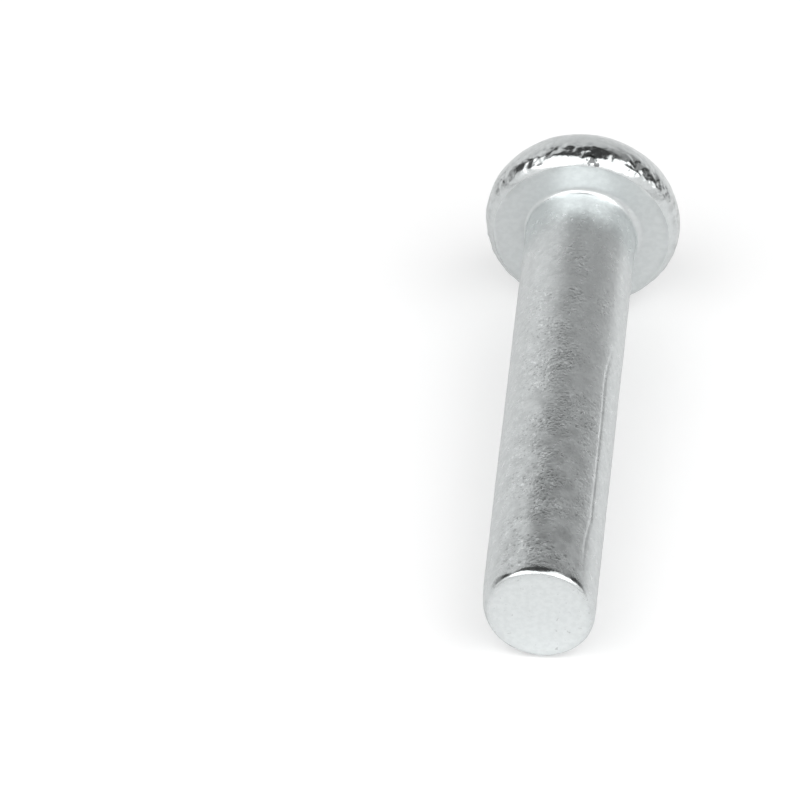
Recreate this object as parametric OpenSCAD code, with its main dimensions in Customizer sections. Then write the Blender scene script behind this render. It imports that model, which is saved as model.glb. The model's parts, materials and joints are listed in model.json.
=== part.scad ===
// Solid rivet with a domed button head, cold headed from one length of wire.
// It stands on its tail: the origin is at the centre of the tail face and +Z runs up to the head.

/* [Shank] */
// Diameter of the shank
shank_d = 8; // [4:0.5:12]
// Length of the shank, from the tail face to the underside of the head
shank_l = 42; // [10:1:120]
// Rounding of the tail's edge
tail_r = 0.6; // [0.1:0.05:1]

/* [Head] */
// Diameter of the head across its rim
head_d = 14.1; // [10:0.1:24]
// Height of the head, from its underside to the top of the dome
head_h = 6.9; // [4.4:0.1:9]
// Height of the rim, from the underside to where its upright wall turns into the brow
rim_h = 1.45; // [1:0.05:4]

/* [Edges] */
// Rounding of the rim's lower edge
rim_r = 1.15; // [0.2:0.05:2]
// Rounding between the rim's wall and the dome
brow_r = 3.85; // [0.2:0.05:5]
// Fillet between the shank and the underside of the head
neck_r = 0.3; // [0.1:0.05:1]

/* [Hidden] */
$fn = 128;
shank_rad = shank_d / 2;
head_rad = head_d / 2;
// Centre of the brow, the arc that starts upright at the top of the rim's wall
brow_x = head_rad - brow_r;
brow_z = shank_l + rim_h;
// The dome is the sphere about the axis that ends at the top of the head and runs smoothly into
// the brow: its centre lies dome_rad - brow_r from the brow's centre, which gives dome_drop
crown_h = head_h - rim_h - brow_r;
dome_drop = (pow(brow_x, 2) - pow(crown_h, 2)) / (2 * crown_h);
dome_z = brow_z - dome_drop;
dome_rad = shank_l + head_h - dome_z;
// Direction from the dome's centre to the brow's, in which the two arcs touch
brow_angle = atan2(dome_drop, brow_x);

// Everything outside an arc of radius r about the origin, between two directions at most 90 degrees apart
module outside_arc(r, from, to) {
    reach = 4 * r;
    middle = (from + to) / 2;
    difference() {
        polygon([
            [0, 0],
            reach * [cos(from), sin(from)],
            2 * reach * [cos(middle), sin(middle)],
            reach * [cos(to), sin(to)]
        ]);
        circle(r);
    }
}

// Half section of the shank, with the tail's edge rounded
module shank_section() {
    difference() {
        square([shank_rad, shank_l + rim_h]);
        translate([shank_rad - tail_r, tail_r])
            outside_arc(tail_r, -90, 0);
    }
}

// Half section of the head: the dome cut off by the rim and the underside, with the rim rounded below and above
module head_section() {
    difference() {
        intersection() {
            translate([0, shank_l])
                square([head_rad, 2 * head_h]);
            translate([0, dome_z])
                circle(dome_rad);
        }
        translate([head_rad - rim_r, shank_l + rim_r])
            outside_arc(rim_r, -90, 0);
        translate([brow_x, brow_z])
            outside_arc(brow_r, 0, brow_angle);
    }
}

// Half section of the fillet under the head, sunk into the shank and the head by its own radius
module neck_section() {
    difference() {
        translate([shank_rad - neck_r, shank_l - neck_r])
            square(2 * neck_r);
        translate([shank_rad + neck_r, shank_l - neck_r])
            circle(neck_r);
    }
}

module rivet() {
    color("silver")
        rotate_extrude() {
            shank_section();
            head_section();
            neck_section();
        }
}

rivet();
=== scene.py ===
import json
import bpy
import numpy as np
from mathutils import Matrix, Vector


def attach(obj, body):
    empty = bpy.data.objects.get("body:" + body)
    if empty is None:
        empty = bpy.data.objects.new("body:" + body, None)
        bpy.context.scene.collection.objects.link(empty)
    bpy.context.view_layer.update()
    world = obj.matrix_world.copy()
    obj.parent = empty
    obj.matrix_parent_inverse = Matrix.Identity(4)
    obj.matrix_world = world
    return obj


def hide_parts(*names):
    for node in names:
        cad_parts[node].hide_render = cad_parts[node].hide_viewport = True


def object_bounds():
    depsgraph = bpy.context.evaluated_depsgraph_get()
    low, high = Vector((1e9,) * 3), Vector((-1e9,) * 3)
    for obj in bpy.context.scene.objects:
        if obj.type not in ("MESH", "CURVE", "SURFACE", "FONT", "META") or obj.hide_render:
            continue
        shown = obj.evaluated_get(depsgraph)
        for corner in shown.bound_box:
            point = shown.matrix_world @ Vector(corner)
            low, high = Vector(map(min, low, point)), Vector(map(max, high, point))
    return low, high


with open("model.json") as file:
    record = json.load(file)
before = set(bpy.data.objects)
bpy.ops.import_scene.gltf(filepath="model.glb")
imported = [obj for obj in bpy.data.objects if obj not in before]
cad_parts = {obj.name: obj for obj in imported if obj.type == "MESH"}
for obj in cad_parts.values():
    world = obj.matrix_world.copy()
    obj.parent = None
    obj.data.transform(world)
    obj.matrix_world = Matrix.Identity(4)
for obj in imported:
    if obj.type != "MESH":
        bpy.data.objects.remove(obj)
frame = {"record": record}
cadBox = [[float(v) for v in corner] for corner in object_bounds()]
print("frame loaded, box", cadBox)

mm = 0.001
mounts = {mount["name"]: mount for mount in frame["record"]["mounts"]}

# sizes in millimetres; the shank, the underside, the rim and the top of the dome come from the frame
rivetShape = {
    "shankRadius": mounts["shank"]["dims"]["r_mm"],
    "undersideHeight": mounts["bearing_face"]["pos_m"][2] / mm,
    "headRadius": cadBox[1][0] / mm,
    "topHeight": cadBox[1][2] / mm,
    # rounding of the tail's edge, across and along the shank, where it is sharp and where it is rolled over
    "tailSharp": (0.22, 0.40),
    "tailRolled": (0.50, 1.05),
    # how far it is rolled over: degrees from the top line, share
    "tailRoll": [
        (-150.0, 0.9), (-100.0, 1.0), (-60.0, 0.6), (-30.0, 0.35), (0.0, 0.33),
        (40.0, 0.33), (80.0, 0.2), (120.0, 0.0), (150.0, 0.1), (180.0, 0.5)],
    "neckFillet": (0.20, 0.55), # fillet between shank and underside, at its least and at its most
    "neckSide": 70.0,           # where it is most, degrees from the top line
    "rimRound": 1.246,          # rounding of the rim's lower edge, across: an oval as high as the rim
    "rimLipTurn": 64.0,         # how far round the oval it meets the underside, degrees
    "lipRound": 0.07,           # rounding of the crisp edge there
    "rimHeight": 1.45,          # underside to the widest place of the rim
    "rimTouch": 0.9,            # where the rim touches the floor, share of its height
    "browRound": 3.85,          # rounding between rim and dome
    "tailHole": 0.06,           # radius of the first ring about the tail's pole
    "domeEnd": 89.5,            # direction of the last ring about the dome's pole, degrees
    "columns": 400,             # points around
    # points along each run of the section
    "rows": {"tail": 20, "tailEdge": 15, "shank": 106, "neck": 9, "underside": 9, "lip": 4, "rim": 25,
             "brow": 26, "dome": 30},
    "floorSide": 45.0,          # azimuth that the floor it lies on faces, degrees
}

# millimetres, and degrees from the top line as it lies
rivetWear = {
    "seed": 11,
    # unevenness: height, length of its waves, number of its draw, pace along the axis
    "shankSway": (0.006, 7.0, 1, 0.6),
    "shankDents": (0.0022, 1.5, 2, 0.5),
    "rimFacets": (0.014, 2.4, 3, 1.0),
    "rimForge": (0.025, 1.00, 22, 1.0),
    "rimCrumple": (0.010, 0.44, 10, 1.0),
    "domeWaves": (0.008, 2.6, 5, 1.0),
    "domeDents": (0.003, 0.9, 6, 1.0),
    "tailWaves": (0.004, 2.4, 7, 1.0),
    "tailPits": (0.0015, 0.7, 8, 1.0),
    "tailEdgeWaves": (0.010, 2.2, 9, 1.0),
    # the forged part of the rim starts and ends between these heights over the underside
    "forgedFrom": (0.10, 0.60),
    "forgedTo": (1.4, 2.3),
    # a shallow line that the drawing die left along the wire: height above the tail, degrees
    "drawnLine": [
        (0.8, 47.5), (5.0, 47.8), (6.3, 50.0), (7.5, 52.8), (10.1, 52.5), (16.3, 52.2),
        (19.5, 51.7), (22.5, 50.7), (23.5, 51.0), (24.5, 52.7), (26.1, 56.0), (27.2, 59.5)],
    "drawnLineDepth": 0.037,
    "drawnLineWidth": 0.12,
    "drawnLineFade": (5.0, 2.5),
    # hollows: height above the tail, degrees, depth, half its height, half its width in degrees
    "hollows": [
        (0.0, -132.0, 0.20, 1.4, 55.0),
        (43.2, -100.0, 0.11, 1.6, 24.0),
        (42.8, 8.0, 0.13, 0.40, 4.0)],
    # folds that forging left on the rim, darkened with painted shade: height, degrees, half its height, half
    # its width in degrees
    "folds": [(42.42, 5.2, 0.46, 3.2), (42.22, 10.0, 0.24, 3.4)],
    # the shank is nicked most about one line, degrees and half the width, and least at the head,
    # from the first of these heights; below the second it is nicked in full
    "nickedAt": (4.0, 46.0),
    "nickedBelow": (40.0, 26.0),
    "nickedLeast": 0.2,
    "most": 0.02,               # no point stands further out than this
}


# a straight run of the section from one point to the next, with its outward direction
def sectionLine(start, end, count):
    share = np.linspace(0.0, 1.0, count)[:, None]
    points = np.array(start) * (1.0 - share) + np.array(end) * share
    step = np.array(end) - np.array(start)
    outward = np.array([step[1], -step[0]]) / np.hypot(*step)
    return np.hstack([points, np.repeat(outward[None, :], count, axis=0)])


# a quarter oval from the flat tail to the upright shank: centre plus half widths times cosine and sine
def sectionOval(across, along, shank, count):
    angle = np.radians(np.linspace(-90.0, 0.0, count))
    points = np.stack([shank - across + across * np.cos(angle), along + along * np.sin(angle)], axis=1)
    outward = np.stack([along * np.cos(angle), across * np.sin(angle)], axis=1)
    return np.hstack([points, outward / np.linalg.norm(outward, axis=1, keepdims=True)])


# an arc of the section: centre plus radius times the direction, which is outward, or inward for a fillet
def sectionArc(centre, radius, startDegrees, endDegrees, count, hollow=False):
    angle = np.radians(np.linspace(startDegrees, endDegrees, count))
    direction = np.stack([np.cos(angle), np.sin(angle)], axis=1)
    outward = -direction if hollow else direction
    return np.hstack([np.array(centre) + radius * direction, outward])


# a run with its heights multiplied and then raised to a level; its outward direction turns the other way
def sectionDrawnUp(run, factor, level):
    drawn = run * np.array([1.0, factor, 1.0, 1.0 / factor])
    drawn[:, 1] += level
    drawn[:, 2:] /= np.linalg.norm(drawn[:, 2:], axis=1, keepdims=True)
    return drawn


# the half section from the tail's centre to the top of the dome, one row per point: radius, height, outward
def rivetSection(shape, tail, neck):
    shank = shape["shankRadius"]
    under = shape["undersideHeight"]
    head = shape["headRadius"]
    brow = shape["browRound"]
    rim = shape["rimRound"]
    lip = shape["lipRound"]
    rowsOf = shape["rows"]
    # heights over the underside: the rim's rounding as a circle, and the lip as a small circle that touches
    # the underside and the inside of it; both are then drawn up to the rim's height, which makes them ovals
    rimCentre = (head - rim, rim * np.sin(np.radians(shape["rimLipTurn"])))
    lipRise = rimCentre[1] - lip
    lipCentre = (rimCentre[0] + np.sqrt((rim - lip) ** 2 - lipRise ** 2), lip)
    lipEnd = np.degrees(np.arctan2(lipCentre[1] - rimCentre[1], lipCentre[0] - rimCentre[0]))
    drawUp = shape["rimHeight"] / rimCentre[1]
    lipRun = sectionDrawnUp(sectionArc(lipCentre, lip, -90.0, lipEnd, rowsOf["lip"]), drawUp, under)
    rimRun = sectionDrawnUp(sectionArc(rimCentre, rim, lipEnd, 0.0, rowsOf["rim"]), drawUp, under)
    # the dome is the sphere through the top that runs smoothly into the brow
    browCentre = (head - brow, under + shape["rimHeight"])
    crown = shape["topHeight"] - browCentre[1] - brow
    domeDrop = (browCentre[0] ** 2 - crown ** 2) / (2.0 * crown)
    domeCentre = (0.0, browCentre[1] - domeDrop)
    domeRadius = shape["topHeight"] - domeCentre[1]
    browEnd = np.degrees(np.arctan2(domeDrop, browCentre[0]))
    neckCentre = (shank + neck, under - neck)
    runs = [
        ("tail", sectionLine((shape["tailHole"], 0.0), (shank - tail[0], 0.0), rowsOf["tail"])),
        ("tailEdge", sectionOval(tail[0], tail[1], shank, rowsOf["tailEdge"])),
        ("shank", sectionLine((shank, tail[1]), (shank, under - neck), rowsOf["shank"])),
        ("neck", sectionArc(neckCentre, neck, 180.0, 90.0, rowsOf["neck"], hollow=True)),
        ("underside", sectionLine((shank + neck, under), (lipCentre[0], under), rowsOf["underside"])),
        ("lip", lipRun),
        ("rim", rimRun),
        ("brow", sectionArc(browCentre, brow, 0.0, browEnd, rowsOf["brow"])),
        ("dome", sectionArc(domeCentre, domeRadius, browEnd, shape["domeEnd"], rowsOf["dome"])),
    ]
    rows = []
    names = []
    for index, (name, run) in enumerate(runs):
        kept = run if index == len(runs) - 1 else run[:-1]
        rows.append(kept)
        names += [name] * len(kept)
    return np.vstack(rows), np.array(names)


# uneven height at each point: a sum of many flat waves in random directions, about one in size
def unevenness(points, waveLength, seed, waves=70, lengths=(0.7, 1.6)):
    draw = np.random.default_rng(seed)
    direction = draw.normal(size=(waves, 3))
    direction /= np.linalg.norm(direction, axis=1, keepdims=True)
    pace = 2.0 * np.pi / (waveLength * draw.uniform(*lengths, size=waves))
    shift = draw.uniform(0.0, 2.0 * np.pi, size=waves)
    phase = points @ (direction * pace[:, None]).T + shift
    return np.cos(phase).sum(axis=1) * np.sqrt(2.0 / waves)


# share of a zone at each row: one on the named runs, fading to nothing over a few rows
def zoneShare(names, wanted, fade):
    inside = np.isin(names, wanted).astype(float)
    kernel = np.hanning(2 * fade + 3)[1:-1]
    padded = np.pad(inside, fade, mode="edge")
    return np.convolve(padded, kernel / kernel.sum(), mode="valid")


# nought below the first value, one above the second, and a smooth rise between them
def smoothRise(value, low, high):
    share = np.clip((value - low) / (high - low), 0.0, 1.0)
    return share * share * (3.0 - 2.0 * share)


# the section carried round the axis, then every point moved along its outward direction by the wear
def makeRivet(shape, wear):
    columns = shape["columns"]
    turn = 2.0 * np.pi * np.arange(columns) / columns
    fromTop = (turn - np.radians(shape["floorSide"] - 90.0) + np.pi) % (2.0 * np.pi) - np.pi
    # the tail's rounding and the neck's fillet grow from their least to their most around the rivet
    sharp, names = rivetSection(shape, shape["tailSharp"], shape["neckFillet"][0])
    rolled, names = rivetSection(shape, shape["tailRolled"], shape["neckFillet"][0])
    filled, names = rivetSection(shape, shape["tailSharp"], shape["neckFillet"][1])
    roll = np.interp(np.degrees(fromTop), *np.array(shape["tailRoll"]).T, period=360.0)
    fill = 0.5 + 0.5 * np.cos(fromTop - np.radians(shape["neckSide"]))
    section = sharp[:, None, :] + roll[None, :, None] * (rolled - sharp)[:, None, :]
    section = section + fill[None, :, None] * (filled - sharp)[:, None, :]
    rowCount = len(names)
    radius, height, outR, outZ = (section[:, :, i] for i in range(4))
    points = np.stack([radius * np.cos(turn), radius * np.sin(turn), height], axis=2)
    outward = np.stack([outR * np.cos(turn), outR * np.sin(turn), outZ], axis=2)
    flat = points.reshape(-1, 3)
    level = sharp[:, 1]
    rise = level - shape["undersideHeight"]

    zones = {
        "tail": zoneShare(names, ["tail", "tailEdge"], 3),
        "tailEdge": zoneShare(names, ["tailEdge"], 2),
        "shank": zoneShare(names, ["shank"], 4),
        "rim": zoneShare(names, ["lip", "rim", "brow"], 4),
        "forged": smoothRise(rise, *wear["forgedFrom"]) * (1.0 - smoothRise(rise, *wear["forgedTo"])),
        "dome": zoneShare(names, ["brow", "dome"], 4),
        "gloss": zoneShare(names, ["rim", "brow", "dome", "tailEdge"], 2),
        "flat": zoneShare(names, ["tail", "underside"], 2),
    }

    # nicked share of the shank: full about its line, falling to the least beside it and at the head
    least = wear["nickedLeast"]
    nickedLine, nickedHalf = wear["nickedAt"]
    nickedTop, nickedFull = wear["nickedBelow"]
    nickedAcross = np.exp(-((np.degrees(fromTop) - nickedLine) / nickedHalf) ** 4)
    nickedAcross = least + (1.0 - least) * nickedAcross
    nickedAlong = 1.0 - (1.0 - least) * smoothRise(level, nickedFull, nickedTop)
    # painted shade on the nicked side, growing towards the tail
    shadeAlongShank = 1.0 - level / shape["undersideHeight"]
    spread = np.ones(columns)
    # the folds' mask, where painted shade darkens the rim
    fold = np.zeros((rowCount, columns))
    for high, degrees, halfHeight, halfWidth in wear["folds"]:
        across = (np.degrees(fromTop) - degrees) / halfWidth
        along = (level - high) / halfHeight
        fold = np.maximum(fold, np.outer(np.exp(-along ** 4), np.exp(-across ** 2)))
    fold = fold * zones["rim"][:, None]
    layers = {
        "fold": fold,
        "gloss": np.outer(zones["gloss"], spread),
        "forged": np.outer(zones["forged"], spread),
        "flat": np.outer(zones["flat"], spread),
        "tail": np.outer(zones["tail"], spread),
        "nicked": np.outer(zones["shank"] * nickedAlong, nickedAcross),
        "dulled": np.outer(zones["shank"] * shadeAlongShank, nickedAcross),
    }

    def field(name):
        size, wave, draw, paceAlong = wear[name]
        spot = flat * np.array([1.0, 1.0, paceAlong])
        return (size * unevenness(spot, wave, wear["seed"] + draw)).reshape(rowCount, columns)

    lift = zones["shank"][:, None] * (field("shankSway") + field("shankDents"))
    lift += zones["rim"][:, None] * field("rimFacets")
    lift += zones["forged"][:, None] * (field("rimForge") + field("rimCrumple"))
    lift += zones["dome"][:, None] * (field("domeWaves") + field("domeDents"))
    lift += zones["tail"][:, None] * (field("tailWaves") + field("tailPits"))
    lift -= zones["tailEdge"][:, None] * np.abs(field("tailEdgeWaves"))
    # the drawn line: a narrow trough about its path, fading at both ends
    line = np.array(wear["drawnLine"])
    lineAt = np.radians(np.interp(level, line[:, 0], line[:, 1]))
    aside = (fromTop[None, :] - lineAt[:, None]) * shape["shankRadius"] / wear["drawnLineWidth"]
    fadeIn = np.clip((level - line[0, 0]) / wear["drawnLineFade"][0], 0.0, 1.0)
    fadeOut = np.clip((line[-1, 0] - level) / wear["drawnLineFade"][1], 0.0, 1.0)
    lineDepth = zones["shank"] * fadeIn * fadeOut * wear["drawnLineDepth"]
    lift -= lineDepth[:, None] * np.exp(-aside ** 2)
    # the hollows: a bell along the axis times a bell around it, least on the flat faces
    for high, degrees, depth, halfHeight, halfWidth in wear["hollows"]:
        across = (fromTop - np.radians(degrees) + np.pi) % (2.0 * np.pi) - np.pi
        bellAlong = np.exp(-((level - high) / halfHeight) ** 2)
        bellAcross = np.exp(-(across / np.radians(halfWidth)) ** 2)
        lift -= depth * bellAlong[:, None] * bellAcross * np.abs(outR)
    lift = np.minimum(lift, wear["most"])
    points = points + outward * lift[:, :, None]
    points[:, :, 2] = np.maximum(points[:, :, 2], 0.0)

    ring = np.arange(rowCount * columns).reshape(rowCount, columns)
    ahead = np.roll(ring, -1, axis=1)
    quads = np.stack([ring[:-1], ahead[:-1], ahead[1:], ring[1:]], axis=2).reshape(-1, 4)
    tailPole = rowCount * columns
    domePole = tailPole + 1
    tailFan = np.stack([ahead[0], ring[0], np.full(columns, tailPole)], axis=1)
    domeFan = np.stack([ring[-1], ahead[-1], np.full(columns, domePole)], axis=1)
    poles = np.array([
        [0.0, 0.0, points[0, :, 2].mean()],
        [0.0, 0.0, points[-1, :, 2].mean()]])
    allPoints = np.vstack([points.reshape(-1, 3), poles]) * mm

    mesh = bpy.data.meshes.new("rivet_body")
    mesh.from_pydata(allPoints.tolist(), [], quads.tolist() + tailFan.tolist() + domeFan.tolist())
    mesh.polygons.foreach_set("use_smooth", np.ones(len(mesh.polygons), dtype=bool))
    for name, share in layers.items():
        values = np.append(share.ravel(), [share[0, 0], share[-1, 0]])
        layer = mesh.attributes.new(name, "FLOAT", "POINT")
        layer.data.foreach_set("value", values.astype(np.float32))
    mesh.update()
    rivet = bpy.data.objects.new("rivet_body", mesh)
    bpy.context.scene.collection.objects.link(rivet)
    print("rivet made:", len(allPoints), "points,", rowCount, "rows")
    return rivet


rivet = makeRivet(rivetShape, rivetWear)
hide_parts("rivet")
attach(rivet, "root")

# bright zinc over tumbled steel: satin on shank, underside and tail, glossier on the forged head
zincFinish = {
    "light": (0.742, 0.769, 0.771, 1.0),
    "dull": (0.702, 0.729, 0.731, 1.0),
    "satinRough": 0.31,
    "flatRough": 0.38,              # on the underside and the tail
    "glossRough": 0.21,
    "roughSpread": 0.04,
    # noises: cells per metre, detail, twist
    "blotch": (2400.0, 3.0, 0.0),
    "grain": (2600.0, 2.0, 0.0),
    "forge": (1900.0, 1.5, 0.0),
    "mottle": (1900.0, 3.0, 0.0),
    "fold": (3300.0, 3.0, 0.0),
    "nick": (4300.0, 1.5, 0.6),
    "patch": (330.0, 1.0, 0.0),     # the nicks come in patches
    "cloud": (800.0, 2.0, 0.0),
    "speck": (3000.0, 2.0, 0.6),
    # values of a noise between which its effect goes from none to full
    "blotchRange": (0.35, 0.65),
    "roughRange": (0.3, 0.7),
    "mottleRange": (0.38, 0.66),
    "foldRange": (0.74, 0.92),
    "nickRange": (0.30, 0.62),
    "gleamRange": (0.60, 0.71),
    "dirtRange": (0.41, 0.29),
    "patchRange": (0.36, 0.60),
    "cloudRange": (0.36, 0.64),
    "speckRange": (0.33, 0.26),
    "grainDepth": 0.012 * mm,
    "forgeDepth": 0.050 * mm,
    "nickDepth": 0.016 * mm,
    "patchLeast": 0.25,             # nicks between the patches
    "nickDirt": 0.42,               # painted shade in the deepest nicks
    "nickGleam": 0.40,              # painted highlights along their raised edges
    "nickedDull": 0.27,             # painted shade: the nicked side darker towards the tail, in clouds
    "flatGleam": 0.14,              # painted highlight: the underside and the tail made brighter
    "speckDirt": 0.30,              # darkening of the few specks on the tail
    "forgeDull": 0.20,              # darkening of the forged rim, in blotches
    "foldLift": 0.45,               # added to the noise inside the folds, so that it counts there alone
    "foldDirt": 0.80,               # painted shade inside the folds
}


def newNode(tree, kind, **settings):
    node = tree.nodes.new(kind)
    for key, value in settings.items():
        setattr(node, key, value)
    return node


def mapRange(tree, source, low, high, toLow, toHigh, smooth=True):
    node = newNode(tree, "ShaderNodeMapRange")
    node.interpolation_type = "SMOOTHSTEP" if smooth else "LINEAR"
    node.inputs["From Min"].default_value = low
    node.inputs["From Max"].default_value = high
    node.inputs["To Min"].default_value = toLow
    node.inputs["To Max"].default_value = toHigh
    tree.links.new(source, node.inputs["Value"])
    return node.outputs["Result"]


def combine(tree, operation, first, second):
    node = newNode(tree, "ShaderNodeMath", operation=operation)
    for socket, value in zip(node.inputs, (first, second)):
        if isinstance(value, float):
            socket.default_value = value
        else:
            tree.links.new(value, socket)
    return node.outputs[0]


def makeZinc(finish):
    material = bpy.data.materials.new("zinc_plated_steel")
    material.use_nodes = True
    tree = material.node_tree
    tree.nodes.clear()
    link = tree.links.new
    output = newNode(tree, "ShaderNodeOutputMaterial")
    metal = newNode(tree, "ShaderNodeBsdfPrincipled")
    metal.inputs["Metallic"].default_value = 1.0
    link(metal.outputs["BSDF"], output.inputs["Surface"])
    place = newNode(tree, "ShaderNodeTexCoord").outputs["Object"]

    def noise(name):
        node = newNode(tree, "ShaderNodeTexNoise")
        for socket, value in zip(("Scale", "Detail", "Distortion"), finish[name]):
            node.inputs[socket].default_value = value
        link(place, node.inputs["Vector"])
        return node.outputs["Fac"]

    def zone(name):
        return newNode(tree, "ShaderNodeAttribute", attribute_name=name).outputs["Fac"]

    blotch = noise("blotch")
    tone = newNode(tree, "ShaderNodeMix", data_type="RGBA")
    tone.inputs["A"].default_value = finish["dull"]
    tone.inputs["B"].default_value = finish["light"]
    link(mapRange(tree, blotch, *finish["blotchRange"], 0.0, 1.0), tone.inputs["Factor"])
    # nicks of tumbling, deepest in patches, with painted shade inside them and painted highlights along
    # their raised edges
    patch = mapRange(tree, noise("patch"), *finish["patchRange"], finish["patchLeast"], 1.0)
    patch = combine(tree, "MULTIPLY", patch, zone("nicked"))
    nick = noise("nick")
    nicks = combine(tree, "MULTIPLY", mapRange(tree, nick, *finish["nickRange"], 0.0, 1.0), patch)
    nickGlint = mapRange(tree, nick, *finish["gleamRange"], 0.0, finish["nickGleam"])
    nickShading = mapRange(tree, nick, *finish["dirtRange"], 0.0, finish["nickDirt"])
    nickLightAndShade = combine(tree, "MULTIPLY", combine(tree, "SUBTRACT", nickGlint, nickShading), patch)
    # painted highlight on the flat faces, and painted shade in clouds on the shank's nicked side, darker
    # towards the tail
    flatGleam = combine(tree, "MULTIPLY", zone("flat"), finish["flatGleam"])
    cloud = mapRange(tree, noise("cloud"), *finish["cloudRange"], 0.0, finish["nickedDull"])
    change = combine(tree, "SUBTRACT", flatGleam, combine(tree, "MULTIPLY", zone("dulled"), cloud))
    # the folds are ragged: painted shade where their noise and their share together are high
    foldShare = combine(tree, "MULTIPLY", zone("fold"), finish["foldLift"])
    ragged = combine(tree, "ADD", noise("fold"), foldShare)
    foldShading = mapRange(tree, ragged, *finish["foldRange"], 0.0, -finish["foldDirt"])
    change = combine(tree, "ADD", change, foldShading)
    # specks on the tail, blotches on the forged rim
    speck = mapRange(tree, noise("speck"), *finish["speckRange"], 0.0, -finish["speckDirt"])
    change = combine(tree, "ADD", change, combine(tree, "MULTIPLY", zone("tail"), speck))
    mottle = mapRange(tree, noise("mottle"), *finish["mottleRange"], 0.0, -finish["forgeDull"])
    change = combine(tree, "ADD", change, combine(tree, "MULTIPLY", zone("forged"), mottle))
    kept = combine(tree, "ADD", 1.0, combine(tree, "ADD", nickLightAndShade, change))
    wornTone = newNode(tree, "ShaderNodeVectorMath", operation="SCALE")
    link(tone.outputs["Result"], wornTone.inputs[0])
    link(kept, wornTone.inputs["Scale"])
    link(wornTone.outputs[0], metal.inputs["Base Color"])

    flatRougher = finish["flatRough"] - finish["satinRough"]
    rough = mapRange(tree, zone("gloss"), 0.0, 1.0, finish["satinRough"], finish["glossRough"], smooth=False)
    rougher = mapRange(tree, zone("flat"), 0.0, 1.0, 0.0, flatRougher, smooth=False)
    spread = mapRange(tree, blotch, *finish["roughRange"], finish["roughSpread"], -finish["roughSpread"])
    link(combine(tree, "ADD", combine(tree, "ADD", rough, rougher), spread), metal.inputs["Roughness"])

    def relief(height, depth, under):
        node = newNode(tree, "ShaderNodeBump")
        node.inputs["Strength"].default_value = 1.0
        node.inputs["Distance"].default_value = depth
        link(height, node.inputs["Height"])
        if under is not None:
            link(under, node.inputs["Normal"])
        return node.outputs["Normal"]

    normal = relief(noise("grain"), finish["grainDepth"], None)
    normal = relief(nicks, finish["nickDepth"], normal)
    forge = combine(tree, "MULTIPLY", noise("forge"), zone("forged"))
    link(relief(forge, finish["forgeDepth"], normal), metal.inputs["Normal"])
    return material


zinc = makeZinc(zincFinish)
rivet.data.materials.append(zinc)
print("zinc finish on the rivet")

# the photograph's view, fitted to the rivet's outline in an 800 pixel frame
photoCamera = {
    "frame": 800.0,
    "focalPixels": 12555.5,
    "tailAt": (537.63, 615.29),     # pixel of the tail's centre
    "shankPixels": 115.016,         # pixels across the shank at the tail
    "leanAway": 40.218,             # angle between the line of sight and the rivet's axis, degrees
    "leanSide": -82.638,            # direction of the axis in the picture, degrees from its right, down plus
    "sensor": 36.0,                 # millimetres
    "clip": (0.01, 20.0),           # metres
}


# camera axes in the rivet's frame: the axis and the floor's upward direction are known in both
def placeCamera(view, shape):
    away = np.radians(view["leanAway"])
    side = np.radians(view["leanSide"])
    axisSeen = np.array([np.sin(away) * np.cos(side), np.sin(away) * np.sin(side), np.cos(away)])
    # the floor touches the tail's edge and the rim, so it stands at a small angle to the axis
    reach = shape["undersideHeight"] + shape["rimTouch"] * shape["rimHeight"] - shape["tailSharp"][1]
    rise = np.arctan2(shape["headRadius"] - shape["shankRadius"], reach)
    # upright in the picture: no sideways part, and the right angle to the axis
    sidewaysFree = np.hypot(axisSeen[1], axisSeen[2])
    tip = np.arctan2(-axisSeen[1], axisSeen[2]) - np.arcsin(np.sin(rise) / sidewaysFree)
    floorSeen = np.array([0.0, -np.cos(tip), -np.sin(tip)])
    upSeen = floorSeen - (floorSeen @ axisSeen) * axisSeen
    upSeen /= np.linalg.norm(upSeen)
    seen = np.stack([axisSeen, upSeen, np.cross(axisSeen, upSeen)], axis=1)
    facing = np.radians(shape["floorSide"])
    axis = np.array([0.0, 0.0, 1.0])
    up = np.array([np.sin(facing), -np.cos(facing), 0.0])
    here = np.stack([axis, up, np.cross(axis, up)], axis=1)
    turn = here @ seen.T
    floorUp = turn @ floorSeen
    scale = 2.0 * shape["shankRadius"] * mm / view["shankPixels"]
    middle = view["frame"] / 2.0
    tail = np.array([view["tailAt"][0] - middle, view["tailAt"][1] - middle, view["focalPixels"]]) * scale
    spot = -turn @ tail
    lens = bpy.data.cameras.new("photo_camera")
    lens.sensor_width = view["sensor"]
    lens.lens = view["sensor"] * view["focalPixels"] / view["frame"]
    lens.clip_start, lens.clip_end = view["clip"]
    camera = bpy.data.objects.new("photo_camera", lens)
    bpy.context.scene.collection.objects.link(camera)
    pose = np.eye(4)
    pose[:3, 0] = turn[:, 0]
    pose[:3, 1] = -turn[:, 1]
    pose[:3, 2] = -turn[:, 2]
    pose[:3, 3] = spot
    camera.matrix_world = Matrix(pose.tolist())
    bpy.context.scene.camera = camera
    print("camera at", spot.round(3), "height over the floor", np.degrees(tip).round(2), "degrees")
    # right, back and up of the floor that the rivet lies on
    right = turn[:, 0]
    back = np.cross(floorUp, right)
    return right, back, floorUp


right, back, floorUp = placeCamera(photoCamera, rivetShape)

whiteFloor = {
    "half": 1.4,                    # half its width, metres
    "paper": (0.755, 0.755, 0.755, 1.0),
    "glow": 0.34,                   # added for the camera, so that lit paper reads white
    "glowInMetal": (0.26, 0.46),    # share of it that the metal shows, left and right of the rivet; less on the left, a painted shadow on the floor as the metal sees it
    "glowTurn": (-0.012, 0.012),    # between these places, metres to the right
}


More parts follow.
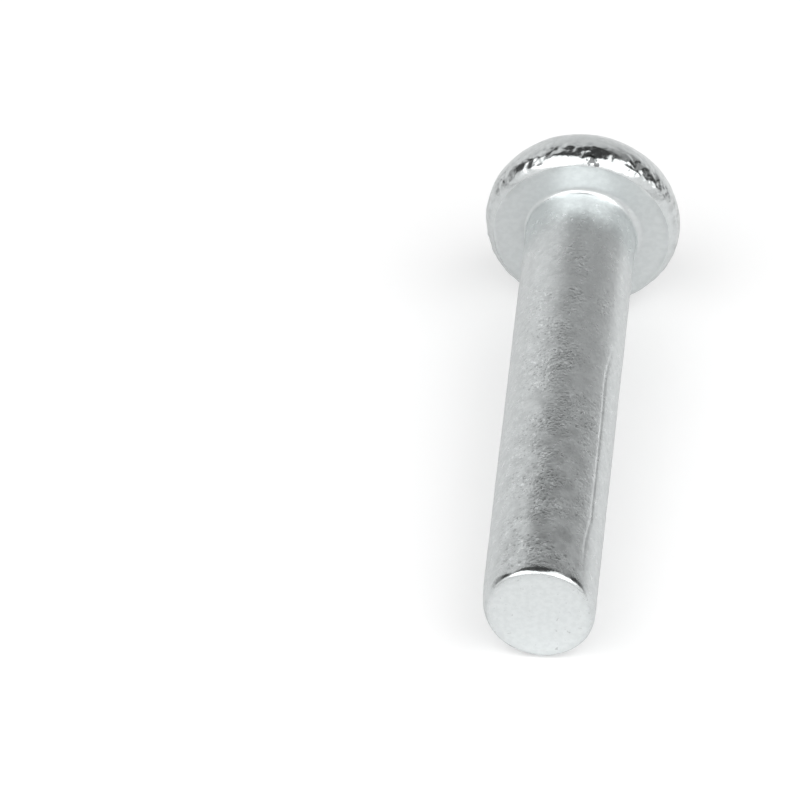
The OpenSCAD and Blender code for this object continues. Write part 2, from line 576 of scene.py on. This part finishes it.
# a flat sheet that touches the tail's edge and the rim: corner = touching point plus right and back
def makeFloor(look, shape):
    tail = shape["tailSharp"][1]
    facing = np.radians(shape["floorSide"])
    below = -np.array([np.sin(facing), -np.cos(facing), 0.0])
    centre = below * (shape["shankRadius"] - tail) + np.array([0.0, 0.0, tail])
    touch = (centre - tail * floorUp) * mm
    across = np.array([[-1, -1], [1, -1], [1, 1], [-1, 1]]) * look["half"]
    corners = touch + across[:, :1] * right + across[:, 1:] * back
    mesh = bpy.data.meshes.new("paper_floor")
    mesh.from_pydata(corners.tolist(), [], [[0, 1, 2, 3]])
    floor = bpy.data.objects.new("paper_floor", mesh)
    bpy.context.scene.collection.objects.link(floor)
    material = bpy.data.materials.new("white_paper")
    material.use_nodes = True
    tree = material.node_tree
    tree.nodes.clear()
    link = tree.links.new
    output = newNode(tree, "ShaderNodeOutputMaterial")
    paper = newNode(tree, "ShaderNodeBsdfDiffuse")
    paper.inputs["Color"].default_value = look["paper"]
    glow = newNode(tree, "ShaderNodeEmission")
    path = newNode(tree, "ShaderNodeLightPath")
    place = newNode(tree, "ShaderNodeVectorMath", operation="DOT_PRODUCT")
    place.inputs[1].default_value = right.tolist()
    link(newNode(tree, "ShaderNodeTexCoord").outputs["Object"], place.inputs[0])
    # the metal sees the paper dimmer to the left: a painted shadow
    share = mapRange(tree, place.outputs["Value"], *look["glowTurn"], *look["glowInMetal"])
    inMetal = combine(tree, "MULTIPLY", path.outputs["Is Glossy Ray"], share)
    seen = combine(tree, "MAXIMUM", path.outputs["Is Camera Ray"], inMetal)
    seen = combine(tree, "MAXIMUM", seen, path.outputs["Is Transmission Ray"])
    link(combine(tree, "MULTIPLY", seen, look["glow"]), glow.inputs["Strength"])
    lit = newNode(tree, "ShaderNodeAddShader")
    link(paper.outputs[0], lit.inputs[0])
    link(glow.outputs[0], lit.inputs[1])
    # from behind, the sheet is left out, so that the rivet's lower side can be seen
    clear = newNode(tree, "ShaderNodeBsdfTransparent")
    face = newNode(tree, "ShaderNodeNewGeometry")
    pick = newNode(tree, "ShaderNodeMixShader")
    link(face.outputs["Backfacing"], pick.inputs[0])
    link(lit.outputs[0], pick.inputs[1])
    link(clear.outputs[0], pick.inputs[2])
    link(pick.outputs[0], output.inputs["Surface"])
    mesh.materials.append(material)
    return touch


touch = makeFloor(whiteFloor, rivetShape)
print("floor laid along the rivet")

# two soft boxes on the camera's side; angles in degrees over the floor and from the line to the camera
softBoxes = {
    "left": {"height": 53.0, "aside": -47.0, "distance": 0.75, "size": (0.78, 0.66), "watts": 2.08},
    "right": {"height": 53.0, "aside": 56.0, "distance": 0.75, "size": (0.92, 0.66), "watts": 2.45},
}


def hangSoftBox(name, box):
    height = np.radians(box["height"])
    aside = np.radians(box["aside"])
    way = np.sin(height) * floorUp + np.cos(height) * (np.sin(aside) * right - np.cos(aside) * back)
    lamp = bpy.data.lights.new("soft_box_" + name, "AREA")
    lamp.shape = "RECTANGLE"
    lamp.size = box["size"][0]
    lamp.size_y = box["size"][1]
    lamp.energy = box["watts"]
    light = bpy.data.objects.new("soft_box_" + name, lamp)
    bpy.context.scene.collection.objects.link(light)
    # the lamp shines along its own -Z; its width lies level over the floor
    level = np.cross(floorUp, way)
    level /= np.linalg.norm(level)
    pose = np.eye(4)
    pose[:3, 0] = level
    pose[:3, 1] = np.cross(way, level)
    pose[:3, 2] = way
    pose[:3, 3] = touch + way * box["distance"]
    light.matrix_world = Matrix(pose.tolist())
    light.visible_camera = False


for boxName, boxValues in softBoxes.items():
    hangSoftBox(boxName, boxValues)
print("soft boxes hung")

# the room around, strength one is white: a grey sweep behind, brighter to the left and near the floor,
# a bright front, and dark overhead and at the sides; places are parts of a direction
studioRoom = {
    "sweep": 0.656,
    "sweepLeft": 0.16,              # added to the left
    "sweepTurn": (-0.64, 0.06),     # between these places, sideways
    "sweepDim": 0.272,              # taken away high up on the right
    "sweepDimAside": (0.15, 0.50),  # between these places, sideways
    "sweepDimUp": (0.15, 0.45),     # and these, upward
    "sweepLow": 0.096,              # added near the floor
    "sweepLowUp": (0.0, 0.40),      # between these places, upward
    "sweepEdge": (0.67, 0.77),      # the sweep ends here, sideways
    "sweepTop": (0.64, 0.80),       # and here, upward
    "skirt": (0.496, 0.352),        # pale strip along the floor at the left and the right
    "skirtTurn": (-0.5, 0.5),       # between these places, sideways
    "skirtTop": (0.16, 0.28),       # it ends here, upward
    "dark": 0.044,
    "pale": 0.86,                   # what the camera sees past the floor, and the metal hardly shows
    "front": 0.864,
    "frontLow": 0.20,               # front of the room, near the floor
    "frontRise": (0.0, 0.09),       # it brightens between these places, upward
    "frontTop": (0.85, 0.94),       # the front ends here, upward
    "frontEdge": (-0.04, 0.10),     # and here, backward
}


def makeRoom(look):
    world = bpy.data.worlds.new("studio_room")
    bpy.context.scene.world = world
    world.use_nodes = True
    tree = world.node_tree
    tree.nodes.clear()
    link = tree.links.new
    output = newNode(tree, "ShaderNodeOutputWorld")
    ground = newNode(tree, "ShaderNodeBackground")
    ground.inputs["Color"].default_value = (1.0, 1.0, 1.0, 1.0)
    link(ground.outputs[0], output.inputs["Surface"])
    way = newNode(tree, "ShaderNodeTexCoord")

    def along(direction):
        dot = newNode(tree, "ShaderNodeVectorMath", operation="DOT_PRODUCT")
        dot.inputs[1].default_value = direction.tolist()
        link(way.outputs["Generated"], dot.inputs[0])
        return dot.outputs["Value"]

    def blend(factor, first, second):
        node = newNode(tree, "ShaderNodeMix", data_type="FLOAT")
        link(factor, node.inputs["Factor"])
        for socket, value in (("A", first), ("B", second)):
            if isinstance(value, float):
                node.inputs[socket].default_value = value
            else:
                link(value, node.inputs[socket])
        return node.outputs["Result"]

    up = along(floorUp)
    aside = along(right)
    depth = along(back)
    offCentre = combine(tree, "ABSOLUTE", aside, 0.0)
    dimAside = mapRange(tree, aside, *look["sweepDimAside"], 0.0, -look["sweepDim"])
    dim = combine(tree, "MULTIPLY", dimAside, mapRange(tree, up, *look["sweepDimUp"], 0.0, 1.0))
    low = mapRange(tree, up, *look["sweepLowUp"], look["sweepLow"], 0.0)
    left = mapRange(tree, aside, *look["sweepTurn"], look["sweepLeft"], 0.0)
    sweep = combine(tree, "ADD", combine(tree, "ADD", dim, low), combine(tree, "ADD", left, look["sweep"]))
    strip = mapRange(tree, aside, *look["skirtTurn"], *look["skirt"])
    skirt = blend(mapRange(tree, up, *look["skirtTop"], 0.0, 1.0), strip, look["dark"])
    behind = blend(mapRange(tree, offCentre, *look["sweepEdge"], 0.0, 1.0), sweep, skirt)
    behind = blend(mapRange(tree, up, *look["sweepTop"], 0.0, 1.0), behind, look["dark"])
    facing = mapRange(tree, up, *look["frontRise"], look["frontLow"], look["front"])
    ahead = blend(mapRange(tree, up, *look["frontTop"], 0.0, 1.0), facing, look["dark"])
    room = blend(mapRange(tree, depth, *look["frontEdge"], 0.0, 1.0), ahead, behind)
    path = newNode(tree, "ShaderNodeLightPath")
    seen = combine(tree, "MAXIMUM", path.outputs["Is Camera Ray"], path.outputs["Is Transmission Ray"])
    seen = combine(tree, "MULTIPLY", seen, look["pale"])
    inMetal = combine(tree, "MULTIPLY", path.outputs["Is Glossy Ray"], look["pale"] * look["dark"])
    seen = combine(tree, "MAXIMUM", seen, inMetal)
    link(combine(tree, "MAXIMUM", room, seen), ground.inputs["Strength"])


makeRoom(studioRoom)
bpy.context.scene.view_settings.view_transform = "Standard"
print("room lit")
